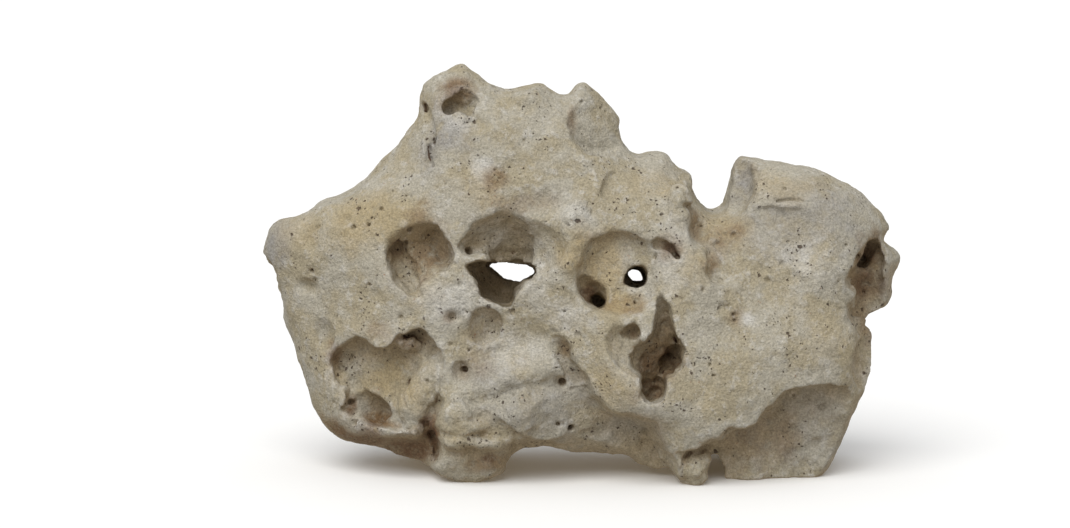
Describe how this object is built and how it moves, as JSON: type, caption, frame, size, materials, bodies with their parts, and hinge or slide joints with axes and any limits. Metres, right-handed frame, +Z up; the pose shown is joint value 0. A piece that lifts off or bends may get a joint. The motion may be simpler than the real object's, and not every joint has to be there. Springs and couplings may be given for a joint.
{
  "type": "holey rock",
  "caption": "Boulder of pale porous limestone standing on edge, hollowed into bowls and pits, with tunnels from front to back and an arch between its feet.",
  "frame": {"origin": "on the ground, under the middle of the rock's bounding box", "axes": "+Z up, +X to the right along the rock as seen from its hollowed front, +Y away from that front"},
  "size_m": [0.4486, 0.1744, 0.2832],
  "materials": {
    "limestone": "matt, finely pitted, pale warm limestone with ochre stains and chalky patches"
  },
  "bodies": {
    "root": {"holey_rock": "limestone"}
  },
  "joints": []
}
